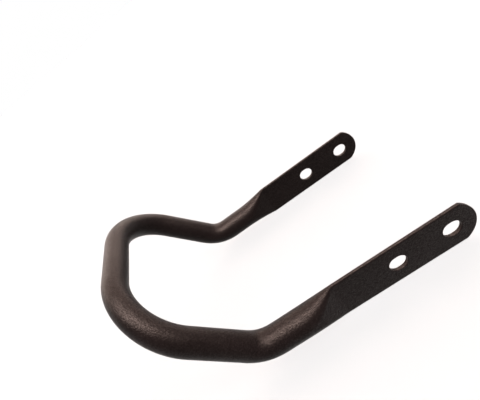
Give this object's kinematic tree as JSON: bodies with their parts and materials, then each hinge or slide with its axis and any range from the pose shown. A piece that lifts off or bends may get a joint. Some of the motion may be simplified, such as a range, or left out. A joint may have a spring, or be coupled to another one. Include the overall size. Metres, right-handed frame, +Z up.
{
  "type": "bed assist rail",
  "caption": "Bent-tube bed assist rail: a hand loop rising from parallel legs whose ends are pressed flat and slotted for bolting to a bed frame.",
  "frame": {"origin": "middle of the bounding box's base, level with the lower edges of the pressed legs", "axes": "+X along the legs to the slotted tips, +Y across the rail and square to the pressed plates, +Z up from the legs to the hand loop"},
  "size_m": [0.2548, 0.1774, 0.1198],
  "materials": {
    "steel": "mill",
    "coat": "satin"
  },
  "bodies": {
    "root": {"bent_tube": "steel", "powder_coat": "coat"}
  },
  "joints": []
}
